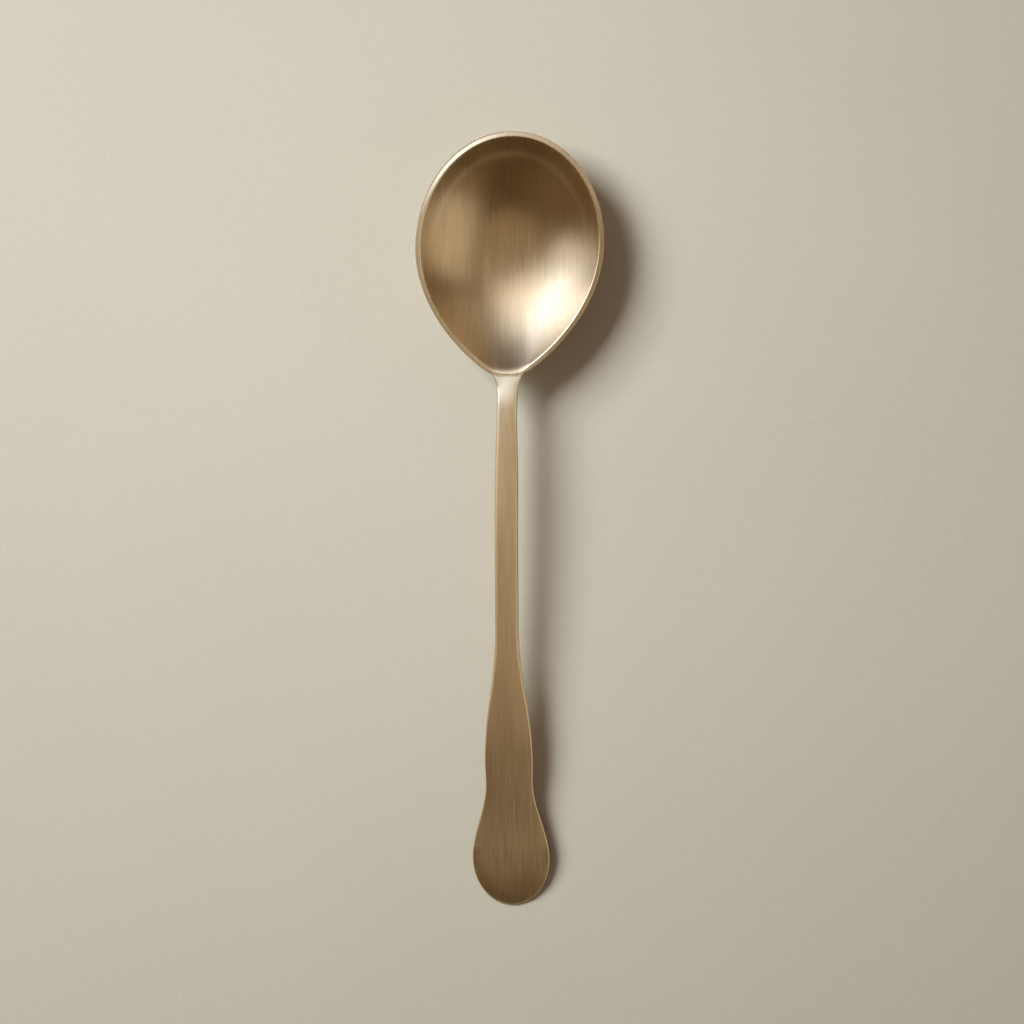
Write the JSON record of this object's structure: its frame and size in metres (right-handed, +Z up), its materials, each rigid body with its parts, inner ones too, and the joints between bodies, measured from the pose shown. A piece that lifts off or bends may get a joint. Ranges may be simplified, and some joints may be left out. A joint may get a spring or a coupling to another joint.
{
  "type": "serving spoon",
  "caption": "Serving spoon with a deep egg-shaped bowl, a flat land round its rim, and a flat handle that swells and ends in a round paddle.",
  "frame": {"origin": "middle of the spoon's length and width, on the surface that it lies on", "axes": "+Y along the spoon towards the bowl's tip, +X to the right seen from above, +Z up"},
  "size_m": [0.0582, 0.24, 0.0147],
  "materials": {
    "bowl_brass": "satin, brushed along the spoon",
    "handle_brass": "satin, brushed along the handle",
    "brazing": "smoothed filler"
  },
  "bodies": {
    "root": {"bowl": "bowl_brass", "handle": "handle_brass", "neck_braze": "brazing"}
  },
  "joints": []
}
